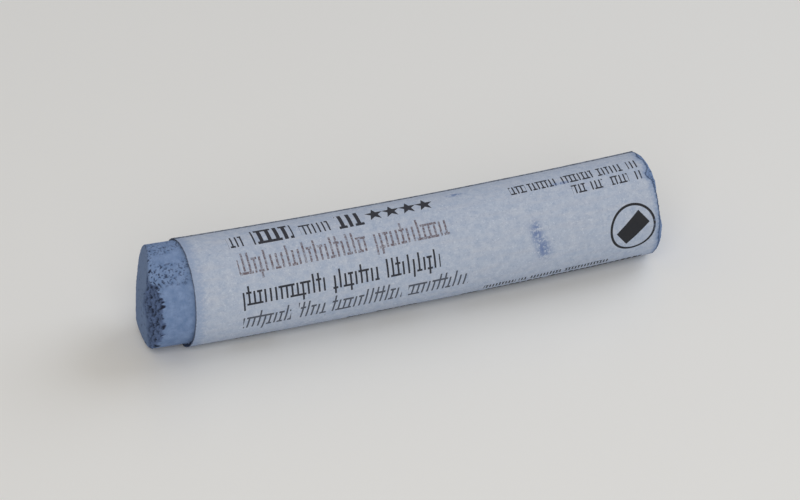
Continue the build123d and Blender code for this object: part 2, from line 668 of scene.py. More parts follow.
@dataclass
class PaperSleeve:
    """One printed sheet rolled round the bar and pasted over itself, its mouth come loose.

    Lengths are in metres and angles in degrees. The end is cut as ragged as the mouth times `end_rag`.
    """

    frame: StickFrame
    paper: float = 0.10 * MM
    paste: float = 0.01 * MM
    lap_edge_at: float = 121.0
    lap: float = 46.7
    lap_ramp: float = 9.3
    loose_length: float = 26.0 * MM
    mouth_growth: float = 0.15 * MM
    mouth_sag: float = 0.17 * MM
    mouth_sag_at: float = -59.0
    mouth_skew: float = 0.42 * MM
    mouth_skew_at: float = 80.0
    mouth_setback: float = -0.28 * MM
    end_reach: float = 0.10 * MM
    end_rag: float = 3.0
    tear: float = 0.20 * MM
    crinkle: float = 0.035 * MM
    sharp_over: float = 50.0
    rows: int = 96
    around: int = 430
    seed: float = 4.0
    nicks: tuple[Nick, ...] = (Nick(98, 13, 0.30 * MM), Nick(66, 10, 0.52 * MM), Nick(-4, 14, 0.10 * MM))

    @property
    def turn(self) -> float:
        """Degrees that the sheet goes round, its overlap included."""
        return 360 + self.lap

    def inputs(self) -> dict[str, float]:
        """The tree's named sizes.

        Returns:
            The name of each input, with its value in metres, or a plain number for the seed.
        """
        sag_y, sag_z = clock(self.mouth_sag_at)
        return {
            "Radius": self.frame.radius_at_sleeve,
            "Paper": self.paper,
            "Mouth X": self.frame.mouth_x,
            "End X": self.frame.sleeve_end_x,
            "Axis Z": self.frame.axis_z,
            "Bow": self.frame.bow,
            "Half Length": self.frame.half_length,
            "Mouth Growth": self.mouth_growth,
            "Mouth Sag Y": self.mouth_sag * sag_y,
            "Mouth Sag Z": self.mouth_sag * sag_z,
            "Loose Length": self.loose_length,
            "Tear": self.tear,
            "Crinkle": self.crinkle,
            "Seed": self.seed,
        }

    def cut_ends(self, tree: Tree, sizes: Sockets, degrees: Node, circle: Node) -> tuple[Node, Node]:
        """Cut both ends of the sheet a little ragged: the mouth on a skew, the far end with nicks torn out.

        Args:
            tree: The sleeve's tree.
            sizes: The tree's inputs.
            degrees: Clock angle of each point.
            circle: Each point on a unit circle, where noise meets itself after a turn.

        Returns:
            X of the mouth and of the far end, at each point's angle.
        """
        ragged = add(tree, NOISE, {"Vector": circle, "Scale": 7.0, "Detail": 6.0, "Roughness": 0.78})
        rag = add(tree, MATH, {0: ragged, 1: -0.5}, operation="ADD")
        tear = add(tree, MATH, {0: rag, 1: sizes["Tear"]}, operation="MULTIPLY")
        angle = add(tree, MATH, {0: degrees}, operation="RADIANS")
        skew_turn = add(tree, MATH, {0: angle, 1: math.radians(self.mouth_skew_at)}, operation="SUBTRACT")
        skew = add(tree, MATH, {0: skew_turn}, operation="COSINE")
        skewed = {0: skew, 1: self.mouth_skew, 2: self.mouth_setback}
        mouth_cut = add(tree, MATH, skewed, operation="MULTIPLY_ADD")
        mouth_rag = add(tree, MATH, {0: tear, 1: 1.0, 2: mouth_cut}, operation="MULTIPLY_ADD")
        mouth_x = add(tree, MATH, {0: mouth_rag, 1: sizes["Mouth X"]}, operation="ADD")
        end_rag = add(tree, MATH, {0: tear, 1: self.end_rag, 2: self.end_reach}, operation="MULTIPLY_ADD")
        end_x = add(tree, MATH, {0: end_rag, 1: sizes["End X"]}, operation="ADD")
        for nick in self.nicks:
            away = add(tree, MATH, {0: degrees, 1: nick.at}, operation="SUBTRACT")
            reach = add(tree, MATH, {0: away}, operation="ABSOLUTE")
            bitten = {0: reach, 1: 0.0, 2: nick.width, 3: nick.depth, 4: 0.0}
            bite = add(tree, RAMP, bitten, interpolation_type="SMOOTHSTEP")
            end_x = add(tree, MATH, {0: end_x, 1: bite}, operation="SUBTRACT")
        return mouth_x, end_x

    def roll_radius(
        self, tree: Tree, sizes: Sockets, degrees: Node, circle: Node, x: Node, loose: Node
    ) -> Node:
        """Find how far the sheet lies from the axis.

        The overlap lies one paper and its paste higher, then bridges down past the hidden edge, and the
        whole sheet is a little crinkled.

        Args:
            tree: The sleeve's tree.
            sizes: The tree's inputs.
            degrees: Clock angle of each point.
            circle: Each point on a unit circle.
            x: X of each point.
            loose: How loose the sheet is at each point, 0 to 1.

        Returns:
            The radius at each point.
        """
        step_at = self.lap_edge_at - 360 + self.lap
        step = {0: degrees, 1: step_at, 2: step_at + self.lap_ramp, 3: self.paper + self.paste, 4: 0.0}
        lift = add(tree, RAMP, step, interpolation_type="SMOOTHSTEP")
        spread = add(tree, VECTOR, {0: circle, 1: (0.55, 0.55, 1.0)}, operation="MULTIPLY")
        rolled = add(tree, SEPARATE, {0: spread}).outputs
        lengthwise = add(tree, MATH, {0: x, 1: 40.0}, operation="MULTIPLY")
        swell_at = add(tree, COMBINE, {0: rolled[0], 1: rolled[1], 2: lengthwise})
        swell = add(tree, NOISE, {"Vector": swell_at, "Scale": 4.5, "Detail": 3.0, "Roughness": 0.5})
        crinkle = add(tree, MATH, {0: swell, 1: sizes["Crinkle"]}, operation="MULTIPLY")
        grown = {0: loose, 1: sizes["Mouth Growth"], 2: sizes["Radius"]}
        radius = add(tree, MATH, grown, operation="MULTIPLY_ADD")
        for part in (lift, crinkle):
            radius = add(tree, MATH, {0: radius, 1: part}, operation="ADD")
        return radius

    def rolled_place(
        self, tree: Tree, sizes: Sockets, angle: Node, radius: Node, x: Node, loose: Node
    ) -> Node:
        """Place the sheet round an axis that follows the bar's bow, pressed flat where it lies.

        Args:
            tree: The sleeve's tree.
            sizes: The tree's inputs.
            angle: Clock angle of each point, in radians.
            radius: How far each point lies from the axis.
            x: X of each point.
            loose: How loose the sheet is at each point, 0 to 1.

        Returns:
            The place of each point.
        """
        reach = add(tree, MATH, {0: x, 1: sizes["Half Length"]}, operation="DIVIDE")
        square = add(tree, MATH, {0: reach, 1: reach, 2: -0.5}, operation="MULTIPLY_ADD")
        bow = add(tree, MATH, {0: square, 1: sizes["Bow"]}, operation="MULTIPLY")
        middle_y = add(tree, MATH, {0: loose, 1: sizes["Mouth Sag Y"], 2: bow}, operation="MULTIPLY_ADD")
        sagged = {0: loose, 1: sizes["Mouth Sag Z"], 2: sizes["Axis Z"]}
        middle_z = add(tree, MATH, sagged, operation="MULTIPLY_ADD")
        cosine = add(tree, MATH, {0: angle}, operation="COSINE")
        outward = add(tree, MATH, {0: cosine, 1: -1.0}, operation="MULTIPLY")
        sine = add(tree, MATH, {0: angle}, operation="SINE")
        y = add(tree, MATH, {0: outward, 1: radius, 2: middle_y}, operation="MULTIPLY_ADD")
        round_z = add(tree, MATH, {0: sine, 1: radius, 2: middle_z}, operation="MULTIPLY_ADD")
        z = add(tree, MATH, {0: round_z, 1: sizes["Paper"]}, operation="MAXIMUM")
        return add(tree, COMBINE, {0: x, 1: y, 2: z})

    def tree(self, material: bpy.types.Material) -> Tree:
        """Build the node tree that rolls a flat grid into the sleeve.

        Args:
            material: The label paper.

        Returns:
            The tree, with a named input for each size.
        """
        tree = sized_tree("rolled_sheet", self.inputs())
        sizes = add(tree, "NodeGroupInput").outputs

        # Rows crowd towards both ends, where the paper is torn.
        grid = add(tree, "GeometryNodeMeshGrid", {0: 1.0, 1: 1.0, 2: self.rows, 3: self.around})
        flat = add(tree, SEPARATE, {0: add(tree, "GeometryNodeInputPosition")}).outputs
        along = add(tree, MATH, {0: flat[0], 1: 0.5}, operation="ADD")
        half_turns = add(tree, MATH, {0: along, 1: math.pi}, operation="MULTIPLY")
        swing = add(tree, MATH, {0: half_turns}, operation="COSINE")
        eased = add(tree, MATH, {0: swing, 1: -0.5, 2: 0.5}, operation="MULTIPLY_ADD")
        share = add(tree, "ShaderNodeMix", {0: 0.6, 2: along, 3: eased})

        turned = {0: flat[1], 1: self.turn, 2: self.lap_edge_at - 360 + self.turn / 2}
        degrees = add(tree, MATH, turned, operation="MULTIPLY_ADD")
        angle = add(tree, MATH, {0: degrees}, operation="RADIANS")
        cosine = add(tree, MATH, {0: angle}, operation="COSINE")
        sine = add(tree, MATH, {0: angle}, operation="SINE")
        circle = add(tree, COMBINE, {0: cosine, 1: sine, 2: sizes["Seed"]})
        mouth_x, end_x = self.cut_ends(tree, sizes, degrees, circle)
        x = add(tree, "ShaderNodeMix", {0: share, 2: mouth_x, 3: end_x})

        # The mouth has come loose: it has grown a little and dropped off the axis.
        into = add(tree, MATH, {0: x, 1: sizes["Mouth X"]}, operation="SUBTRACT")
        depth = add(tree, MATH, {0: into, 1: sizes["Loose Length"]}, operation="DIVIDE")
        loose = add(tree, RAMP, {0: depth, 1: 0.0, 2: 1.0, 3: 1.0, 4: 0.0})
        radius = self.roll_radius(tree, sizes, degrees, circle, x, loose)
        place = self.rolled_place(tree, sizes, angle, radius, x, loose)

        # The sheet's own millimetres: U along the stick, V round it from the front.
        store = "GeometryNodeStoreNamedAttribute"
        arc = add(tree, MATH, {0: angle, 1: sizes["Radius"]}, operation="MULTIPLY")
        in_metres = add(tree, COMBINE, {0: x, 1: arc})
        in_mm = add(tree, VECTOR, {0: in_metres, 3: 1 / MM}, operation="SCALE")
        spread_out = {0: grid.outputs["Mesh"], 2: SHEET_UV, 3: in_mm}
        stored = add(tree, store, spread_out, data_type="FLOAT2", domain="CORNER")
        for name, near, far in ((FROM_MOUTH, mouth_x, x), (FROM_END, x, end_x)):
            gap = add(tree, MATH, {0: far, 1: near}, operation="SUBTRACT")
            gap_mm = add(tree, MATH, {0: gap, 1: 1 / MM}, operation="MULTIPLY")
            stored = add(tree, store, {0: stored, 2: name, 3: gap_mm}, data_type="FLOAT", domain="POINT")
        rolled_up = add(tree, "GeometryNodeSetPosition", {0: stored, 2: place})
        dress(tree, add(tree, "GeometryNodeSetShadeSmooth", {0: rolled_up}), material)
        return tree

    def build(self, material: bpy.types.Material) -> bpy.types.Object:
        """Roll the sheet, give it its thickness and keep it as a plain mesh.

        Args:
            material: The label paper.

        Returns:
            The finished sleeve.
        """
        raw = new_piece("sheet_blank", bpy.data.meshes.new("sheet_blank"))
        run_tree(raw, self.tree(material), self.inputs())
        wall = raw.modifiers.new("paper", "SOLIDIFY")
        wall.thickness = self.paper
        wall.offset = 1.0
        piece = new_piece("rolled_paper_sleeve", frozen_mesh(raw))
        piece.data.set_sharp_from_angle(angle=math.radians(self.sharp_over))
        bpy.data.objects.remove(raw)
        return settle(piece, "label_paper", "paper_wrapper")


@dataclass
class Crumbs:
    """Loose crumbs of pigment on the broken face and where the bar goes into the sleeve."""

    frame: StickFrame
    density: float = 9.0e6
    smallest: float = 0.035 * MM
    largest: float = 0.13 * MM
    on_break: float = 0.45
    before_mouth: float = 0.35 * MM
    mouth_spread: float = 0.28 * MM
    below_at: float = -52.0
    below_half_turn: float = 9.0
    above_at: float = 108.0
    above_half_turn: float = 6.0
    above_share: float = 0.5
    elsewhere: float = 0.03
    seed: int = 11

    def tree(self, material: bpy.types.Material) -> Tree:
        """Build the node tree that scatters crumbs over the bar where it is marked.

        Args:
            material: The pressed pigment.

        Returns:
            The tree, with a named input for each size.
        """
        tree = sized_tree("scattered_crumbs", self.inputs(), takes_mesh=True)
        source = add(tree, "NodeGroupInput").outputs
        mark = add(tree, "GeometryNodeInputNamedAttribute", {0: "crumbly"}, data_type="FLOAT")
        thick = add(tree, MATH, {0: mark, 1: source["Density"]}, operation="MULTIPLY")
        over = {0: source["Geometry"], "Density": thick, "Seed": self.seed}
        spots = add(tree, "GeometryNodeDistributePointsOnFaces", over).outputs["Points"]
        lump = add(tree, "GeometryNodeMeshIcoSphere", {0: 1.0, 1: 1})
        wobble = add(tree, NOISE, {"Vector": add(tree, "GeometryNodeInputPosition"), "Scale": 1.3})
        pushed = {0: wobble.outputs["Color"], 1: (0.5, 0.5, 0.5)}
        offset = add(tree, VECTOR, pushed, operation="SUBTRACT")
        uneven = add(tree, "GeometryNodeSetPosition", {0: lump.outputs[0], 3: offset})
        random = "FunctionNodeRandomValue"
        full_turn = (math.tau, math.tau, math.tau)
        turn = add(
            tree, random, {0: (0.0, 0.0, 0.0), 1: full_turn, "Seed": self.seed}, data_type="FLOAT_VECTOR"
        )
        chance = add(tree, random, {2: 0.0, 3: 1.0, "Seed": self.seed + 1}, data_type="FLOAT")
        rare = add(tree, MATH, {0: chance, 1: 2.5}, operation="POWER")
        size = add(tree, "ShaderNodeMix", {0: rare, 2: source["Smallest"], 3: source["Largest"]})
        laid = {"Points": spots, "Instance": uneven, "Rotation": turn, "Scale": size}
        placed = add(tree, "GeometryNodeInstanceOnPoints", laid)
        dress(tree, placed, material)
        return tree

    def inputs(self) -> dict[str, float]:
        """The tree's named sizes."""
        return {"Density": self.density, "Smallest": self.smallest, "Largest": self.largest}

    def marks(self, mesh: bpy.types.Mesh) -> np.ndarray:
        """How thickly crumbs lie on the bar.

        Args:
            mesh: The bar's mesh.

        Returns:
            0 to 1 for each of its points.
        """
        frame = self.frame
        points = np.zeros(len(mesh.vertices) * 3, np.float32)
        mesh.vertices.foreach_get("co", points)
        x, y, z = points.reshape(-1, 3).T
        angle = np.degrees(np.arctan2(z - frame.axis_z, frame.bow_at(x) - y))
        broken = np.zeros(len(mesh.vertices), np.float32)
        mesh.attributes["broken"].data.foreach_get("value", broken)
        mouth = np.exp(-(((x - frame.mouth_x + self.before_mouth) / self.mouth_spread) ** 2))
        below = np.exp(-(((angle - self.below_at) / self.below_half_turn) ** 2))
        above = self.above_share * np.exp(-(((angle - self.above_at) / self.above_half_turn) ** 2))
        on_side = np.hypot(y - frame.bow_at(x), z - frame.axis_z) > 0.9 * frame.bar_radius
        at_mouth = mouth * (below + above + self.elsewhere) * on_side
        return np.clip(self.on_break * broken * (x < frame.mouth_x) + at_mouth, 0, 1)

    def build(self, bar: bpy.types.Object, material: bpy.types.Material) -> bpy.types.Object:
        """Scatter the crumbs over a copy of the bar and keep only the crumbs.

        Args:
            bar: The finished bar.
            material: The pressed pigment.

        Returns:
            The finished crumbs.
        """
        ground = new_piece("crumb_ground", bar.data.copy())
        mark = ground.data.attributes.new("crumbly", "FLOAT", "POINT")
        mark.data.foreach_set("value", self.marks(ground.data).astype(np.float32))
        run_tree(ground, self.tree(material), self.inputs())
        piece = new_piece("pigment_crumbs", frozen_mesh(ground))
        bpy.data.objects.remove(ground)
        return settle(piece, "pressed_pigment")


class Ink(Enum):
    """The label's inks, each with its sRGB colour and how much of it has rubbed off."""

    SOLID_BLACK = ("171619", 0.10)
    BLACK = ("24252d", 0.16)
    RUBBED_BROWN = ("62555c", 0.55)
    GREY = ("4a4f5c", 0.25)


@dataclass(frozen=True)
class Strokes:
    """A row of plain upright strokes in groups, in the sheet's millimetres.

    The groups are spans along the sheet, the weight is a stroke's share of its pitch, and uneven says how
    far the odd stroke stands above or below the row.
    """

    base: float
    height: float
    groups: tuple[tuple[float, float], ...]
    ink: Ink = Ink.BLACK
    pitch: float = 0.62
    weight: float = 0.40
    slant: float = 0.0
    uneven: float = 1.0


@dataclass(frozen=True)
class StarRow:
    """A row of solid five-pointed stars, in the sheet's millimetres."""

    first: float
    middle: float
    pitch: float = 2.05
    count: int = 4
    radius: float = 1.14
    waist: float = 0.41


@dataclass(frozen=True)
class RingMark:
    """A plain ring with a slanted bar across its middle, in the sheet's millimetres and degrees."""

    at: tuple[float, float]
    radius: float = 2.78
    line: float = 0.30
    bar_length: float = 3.8
    bar_width: float = 2.1
    slant: float = 38.0


@dataclass(frozen=True)
class PressedPigment:
    """Pigment and chalk pressed with a little gum: dead matt and dusty.

    Its side is clouded with paler dust and fine dark specks, its worn face is smoother, and its broken
    faces are darker and coarser. Its hollows are coarser and painted near black, as painted shade.
    """

    name: str = "pressed_phthalo_pastel"
    side: str = "6781ab"
    dusty: str = "7d95be"
    rubbed: str = "6d84ab"
    broken: str = "566b93"
    # fine dark specks, and painted shade in the hollows
    deep: str = "222c44"
    clot: float = 0.9 * MM
    grit: float = 0.11 * MM
    roughness: float = 0.95

    def make(self) -> bpy.types.Material:
        """Build the material.

        Returns:
            The new material.
        """
        material, tree, shader = blank_material(self.name)
        place = add(tree, "ShaderNodeTexCoord").outputs["Object"]
        mark = {
            name: add(tree, "ShaderNodeAttribute", attribute_name=name).outputs["Fac"]
            for name in ("broken", "hollow", "worn")
        }
        clouds = add(tree, NOISE, {"Vector": place, "Scale": 1 / self.clot, "Detail": 5.0, "Roughness": 0.6})
        dust = add(tree, RAMP, {0: clouds, 1: 0.36, 2: 0.68})
        grit = add(tree, NOISE, {"Vector": place, "Scale": 1 / self.grit, "Detail": 4.0, "Roughness": 0.7})
        specks = add(tree, RAMP, {0: grit, 1: 0.54, 2: 0.68, 3: 0.0, 4: 0.22})
        coats = [
            (dust, self.dusty),
            (specks, self.deep),
            (mark["worn"], self.rubbed),
            (mark["broken"], self.broken),
            # painted shade: the pits, clefts and scars are coloured near black, as if shade fell in them
            (mark["hollow"], self.deep),
        ]
        lay_coats(tree, self.side, coats)

        bump = add(tree, "ShaderNodeBump", {"Height": grit, "Strength": 0.55, "Distance": 0.05 * MM})
        tree.links.new(bump.outputs[0], shader.inputs["Normal"])
        shader.inputs["Roughness"].default_value = self.roughness
        shader.inputs["IOR"].default_value = 1.45
        return material


@dataclass(frozen=True)
class LabelPaper:
    """Thin uncoated label paper over blue pigment.

    It lets the blue show through in clouds, shows its fibres as pale flecks, and takes smudges and a rim of
    dust from handling. Painted shade darkens the mouth's edge and a band near the lower side. Sizes and
    places are in the sheet's millimetres.
    """

    name: str = "thin_label_paper"
    pale: str = "b2bed2"
    tinted: str = "a1b0c9"
    warm: str = "b7bcca"
    fleck: str = "cad4e3"
    shade: str = "8a9bb9"
    dust: str = "52698f"
    stain: str = "7f95ba"
    smear: str = "4b68a0"
    # grime on the far end and the overlap, and painted shade along the mouth's edge and the lower side
    grime_and_shade: str = "2f3648"
    cloud: float = 0.9
    streak: float = 0.7
    fibre: float = 0.34
    pulp: float = 0.20
    roughness: float = 0.7
    sheen: float = 0.2
    skew: float = 0.012
    lap_at: float = 12.73
    outer_edge_at: float = -25.15
    # where the painted shade band near the lower side runs, round the sheet
    lower_shade_at: float = -5.25
    lines: tuple[Strokes, ...] = (
        Strokes(8.20, 1.75, ((-21.1, -19.3), (-12.4, -8.9)), pitch=0.58, weight=0.32, uneven=0.0),
        Strokes(8.10, 2.45, ((-18.1, -13.3), (-7.9, -4.8)), pitch=0.98, weight=0.46, uneven=0.0),
        Strokes(4.72, 1.80, ((-20.8, -5.4), (-4.4, 4.7)), ink=Ink.RUBBED_BROWN, pitch=0.66, weight=0.38),
        Strokes(1.22, 1.55, ((-20.9, -11.1), (-10.2, -4.6), (-3.7, 2.9)), pitch=0.64, weight=0.36),
        Strokes(
            -1.95, 1.60, ((-21.0, -15.3), (-14.4, -11.1), (-10.4, -1.9), (-1.1, 6.3)),
            ink=Ink.GREY, pitch=0.64, weight=0.33, slant=0.2,
        ),
        Strokes(
            7.95, 1.35, ((13.3, 15.3), (15.6, 19.2), (19.9, 23.8), (24.4, 27.6), (28.3, 29.5)),
            pitch=0.52, weight=0.34, uneven=0.0,
        ),
        Strokes(
            6.25, 1.20, ((20.6, 22.5), (22.8, 24.6), (25.6, 27.8), (28.5, 29.6)),
            pitch=0.52, weight=0.34, uneven=0.0,
        ),
        Strokes(
            -4.15, 0.75, ((8.6, 12.6), (13.0, 14.0), (14.4, 18.4), (18.8, 24.4)),
            pitch=0.40, weight=0.45, uneven=0.3,
        ),
        Strokes(
            -5.75, 1.00, ((-21.4, -16.5), (-8.0, -5.8), (-4.5, 0.6), (6.0, 8.3), (9.2, 16.2), (17.0, 29.0)),
            pitch=0.75, weight=0.75, uneven=0.3,
        ),
    )
    stars: StarRow = StarRow(-3.27, 9.47)
    ring: RingMark = RingMark((27.1, 0.72))
    smudges: tuple[tuple[float, float, float, float], ...] = (
        (15.0, 3.0, 0.9, 1.6), (15.7, 0.9, 1.1, 1.5), (6.9, 10.3, 1.2, 0.4), (19.6, 8.4, 1.2, 0.25),
    )

    def strokes_group(self) -> Tree:
        """Build the group that turns a place on the sheet into a row of upright strokes.

        Each stroke stands in a cell of its own, some taller or deeper than the rest, and joins its
        neighbour along the top or the foot by chance.

        Returns:
            The group, whose output is 1 on a stroke and 0 beside it.
        """
        tree = bpy.data.node_groups.new("upright_strokes", "ShaderNodeTree")
        tree.interface.new_socket("Mask", in_out="OUTPUT", socket_type="NodeSocketFloat")
        for name in ("U", "V", "Base", "Height", "Pitch", "Weight", "Uneven"):
            tree.interface.new_socket(name, in_out="INPUT", socket_type="NodeSocketFloat")
        given = add(tree, "NodeGroupInput").outputs
        place = add(tree, MATH, {0: given["U"], 1: given["Pitch"]}, operation="DIVIDE")
        cell = add(tree, MATH, {0: place}, operation="FLOOR")
        within = add(tree, MATH, {0: place}, operation="FRACT")
        lot = add(tree, MATH, {0: cell, 1: given["Base"]}, operation="ADD")
        chances = add(tree, "ShaderNodeTexWhiteNoise", {"W": lot}, noise_dimensions="1D")
        chance = add(tree, "ShaderNodeSeparateColor", {0: chances.outputs["Color"]}).outputs
        above = add(tree, MATH, {0: given["V"], 1: given["Base"]}, operation="SUBTRACT")
        level = add(tree, MATH, {0: above, 1: given["Height"]}, operation="DIVIDE")

        half_weight = add(tree, MATH, {0: given["Weight"], 1: 0.5}, operation="MULTIPLY")
        stem = add(tree, MATH, {0: within, 1: 0.5, 2: half_weight}, operation="COMPARE")
        tall = add(tree, MATH, {0: chance[0], 1: 0.76}, operation="GREATER_THAN")
        rise = add(tree, MATH, {0: given["Uneven"], 1: 0.42}, operation="MULTIPLY")
        top = add(tree, MATH, {0: tall, 1: rise, 2: 1.0}, operation="MULTIPLY_ADD")
        deep = add(tree, MATH, {0: chance[0], 1: 0.10}, operation="LESS_THAN")
        drop = add(tree, MATH, {0: given["Uneven"], 1: -0.38}, operation="MULTIPLY")
        foot = add(tree, MATH, {0: deep, 1: drop}, operation="MULTIPLY")
        under_top = add(tree, MATH, {0: level, 1: top}, operation="LESS_THAN")
        over_foot = add(tree, MATH, {0: level, 1: foot}, operation="GREATER_THAN")
        upright = add(tree, MATH, {0: under_top, 1: over_foot}, operation="MULTIPLY")
        upright = add(tree, MATH, {0: upright, 1: stem}, operation="MULTIPLY")
        joined = upright
        for edge, channel, odds in ((0.93, 1, 0.58), (0.07, 2, 0.62)):
            near = add(tree, MATH, {0: level, 1: edge, 2: 0.08}, operation="COMPARE")
            picked = add(tree, MATH, {0: chance[channel], 1: odds}, operation="GREATER_THAN")
            bridge = add(tree, MATH, {0: near, 1: picked}, operation="MULTIPLY")
            joined = add(tree, MATH, {0: joined, 1: bridge}, operation="MAXIMUM")
        tree.links.new(joined.outputs[0], add(tree, "NodeGroupOutput").inputs[0])
        return tree

    def star_mask(self, tree: Tree, u: Socket, v: Socket) -> Node:
        """Add the nodes that draw the row of stars.

        Args:
            tree: The material's tree.
            u: Place along the sheet.
            v: Place round the sheet.

        Returns:
            The node whose output is 1 inside a star and 0 outside.
        """
        row = self.stars
        start = add(tree, MATH, {0: u, 1: row.first - row.pitch / 2}, operation="SUBTRACT")
        count = add(tree, MATH, {0: start, 1: row.pitch}, operation="DIVIDE")
        within = add(tree, MATH, {0: count}, operation="FRACT")
        x = add(tree, MATH, {0: within, 1: row.pitch, 2: -row.pitch / 2}, operation="MULTIPLY_ADD")
        y = add(tree, MATH, {0: v, 1: row.middle}, operation="SUBTRACT")

        # Fold the five points onto one, then keep what lies inside the line from its tip to its waist.
        turn = add(tree, MATH, {0: x, 1: y}, operation="ARCTAN2")
        fifths = add(tree, MATH, {0: turn, 1: 5 / math.tau, 2: 0.5}, operation="MULTIPLY_ADD")
        fold = add(tree, MATH, {0: fifths}, operation="FRACT")
        wedge = add(tree, MATH, {0: fold, 1: 0.5}, operation="SUBTRACT")
        half_wedge = add(tree, MATH, {0: wedge}, operation="ABSOLUTE")
        off_tip = add(tree, MATH, {0: half_wedge, 1: math.tau / 5}, operation="MULTIPLY")
        cosine = add(tree, MATH, {0: off_tip}, operation="COSINE")
        sine = add(tree, MATH, {0: off_tip}, operation="SINE")
        spot = add(tree, COMBINE, {0: x, 1: y})
        reach = add(tree, VECTOR, {0: spot}, operation="LENGTH")
        ahead = add(tree, MATH, {0: cosine, 1: reach}, operation="MULTIPLY")
        aside = add(tree, MATH, {0: sine, 1: reach}, operation="MULTIPLY")
        waist_ahead = row.waist * row.radius * math.cos(math.pi / 5)
        waist_aside = row.waist * row.radius * math.sin(math.pi / 5)
        edge_feeds = {0: ahead, 1: waist_aside, 2: -row.radius * waist_aside}
        edge = add(tree, MATH, edge_feeds, operation="MULTIPLY_ADD")
        past = add(tree, MATH, {0: aside, 1: row.radius - waist_ahead, 2: edge}, operation="MULTIPLY_ADD")
        inside = add(tree, MATH, {0: past, 1: 0.0}, operation="LESS_THAN")
        half = row.count * row.pitch / 2
        in_row = add(tree, MATH, {0: start, 1: half, 2: half}, operation="COMPARE")
        return add(tree, MATH, {0: inside, 1: in_row}, operation="MULTIPLY")

    def ring_mask(self, tree: Tree, u: Socket, v: Socket) -> Node:
        """Add the nodes that draw the ring and the bar across it.

        Args:
            tree: The material's tree.
            u: Place along the sheet.
            v: Place round the sheet.

        Returns:
            The node whose output is 1 on the ring or the bar and 0 elsewhere.
        """
        mark = self.ring
        spot = add(tree, COMBINE, {0: u, 1: v})
        from_middle = add(tree, VECTOR, {0: spot, 1: (*mark.at, 0.0)}, operation="SUBTRACT")
        reach = add(tree, VECTOR, {0: from_middle}, operation="LENGTH")
        ring = add(tree, MATH, {0: reach, 1: mark.radius, 2: mark.line / 2}, operation="COMPARE")
        slant = {"Vector": from_middle, "Angle": -math.radians(mark.slant)}
        sides = add(tree, SEPARATE, {0: add(tree, "ShaderNodeVectorRotate", slant)}).outputs
        across = add(tree, MATH, {0: sides[1], 1: 0.0, 2: mark.bar_width / 2}, operation="COMPARE")
        along = add(tree, MATH, {0: sides[0], 1: 0.0, 2: mark.bar_length / 2}, operation="COMPARE")
        bar = add(tree, MATH, {0: across, 1: along}, operation="MULTIPLY")
        return add(tree, MATH, {0: ring, 1: bar}, operation="MAXIMUM")

    def print_coats(self, tree: Tree, sheet: Socket) -> list[tuple[Node, str]]:
        """Add the print: rows of strokes, stars and a ring, each rubbed as its ink is.

        Args:
            tree: The material's tree.
            sheet: Place on the sheet.

        Returns:
            A mask and an ink colour for each row or mark.
        """
        flat = add(tree, SEPARATE, {0: sheet}).outputs
        u = flat[0]
        v = add(tree, MATH, {0: u, 1: -self.skew, 2: flat[1]}, operation="MULTIPLY_ADD").outputs[0]
        group = self.strokes_group()
        marks: list[tuple[Node, Ink]] = []
        for line in self.lines:
            lean = add(tree, MATH, {0: v, 1: -line.slant, 2: u}, operation="MULTIPLY_ADD")
            strokes = add(tree, "ShaderNodeGroup", node_tree=group)
            for name, value in (("U", lean.outputs[0]), ("V", v)):
                tree.links.new(value, strokes.inputs[name])
            for name in ("base", "height", "pitch", "weight", "uneven"):
                strokes.inputs[name.capitalize()].default_value = getattr(line, name)
            shown = None
            for start, end in line.groups:
                span = {0: u, 1: (start + end) / 2, 2: (end - start) / 2}
                word = add(tree, MATH, span, operation="COMPARE")
                shown = add(tree, MATH, {0: shown, 1: word}, operation="MAXIMUM") if shown else word
            marks.append((add(tree, MATH, {0: strokes, 1: shown}, operation="MULTIPLY"), line.ink))
        marks.append((self.star_mask(tree, u, v), Ink.BLACK))
        marks.append((self.ring_mask(tree, u, v), Ink.SOLID_BLACK))

        rub = add(tree, NOISE, {"Vector": sheet, "Scale": 3.6, "Detail": 4.0, "Roughness": 0.7})
        coats: list[tuple[Node, str]] = []
        for mask, ink in marks:
            hue, rubbed = ink.value
            worn_under = rubbed * 0.72  # the noise level that about this share of the sheet lies under
            left = add(tree, RAMP, {0: rub, 1: worn_under, 2: worn_under + 0.16, 3: 0.30, 4: 0.96})
            coats.append((add(tree, MATH, {0: mask, 1: left}, operation="MULTIPLY"), hue))
        return coats

    def smudge_coats(self, tree: Tree, sheet: Socket, patchy: Node) -> list[tuple[Node, str]]:
        """Add the blue smudges left by fingers.

        Args:
            tree: The material's tree.
            sheet: Place on the sheet.
            patchy: Noise that breaks the dust up.

        Returns:
            A mask and a colour for each smudge.
        """
        broken_up = add(tree, RAMP, {0: patchy, 1: 0.42, 2: 0.51})
        coats: list[tuple[Node, str]] = []
        for u_at, v_at, u_size, v_size in self.smudges:
            offset = add(tree, VECTOR, {0: sheet, 1: (u_at, v_at, 0.0)}, operation="SUBTRACT")
            shrink = (1 / u_size, 1 / v_size, 1.0)
            scaled = add(tree, VECTOR, {0: offset, 1: shrink}, operation="MULTIPLY")
            reach = add(tree, VECTOR, {0: scaled}, operation="LENGTH")
            fade = {0: reach, 1: 0.0, 2: 1.4, 3: 0.80, 4: 0.0}
            near = add(tree, RAMP, fade, interpolation_type="SMOOTHSTEP")
            coats.append((add(tree, MATH, {0: near, 1: broken_up}, operation="MULTIPLY"), self.smear))
        return coats

